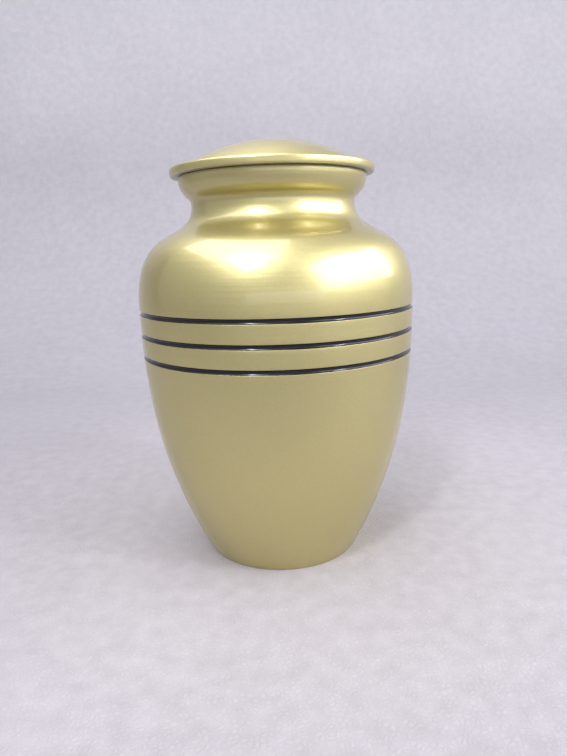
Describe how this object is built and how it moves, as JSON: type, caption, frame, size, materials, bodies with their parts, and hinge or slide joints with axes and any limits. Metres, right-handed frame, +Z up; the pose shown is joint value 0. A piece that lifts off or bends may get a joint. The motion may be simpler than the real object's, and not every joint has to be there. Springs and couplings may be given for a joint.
{
  "type": "cremation urn",
  "caption": "Round-bellied metal cremation urn on a plain foot, with a flared lip, a low domed lift-off lid and black enamelled lines round its belly.",
  "frame": {"origin": "middle of the foot, on the surface that the urn stands on", "axes": "+Z up along the axis that the whole urn is turned about; +X to the right and +Y away from the viewer"},
  "size_m": [0.168, 0.168, 0.2524],
  "materials": {
    "gold_lacquer": "pale champagne-gold metallic lacquer under a clear gloss coat; the inside, the underside of the foot and the underside of the lid are bare cast aluminium",
    "black_enamel": "gloss black enamel, hollowed along its middle"
  },
  "bodies": {
    "root": {"urn_body": "gold_lacquer", "lid": "gold_lacquer", "enamel_line_top": "black_enamel", "enamel_line_middle": "black_enamel", "enamel_line_bottom": "black_enamel"}
  },
  "joints": []
}
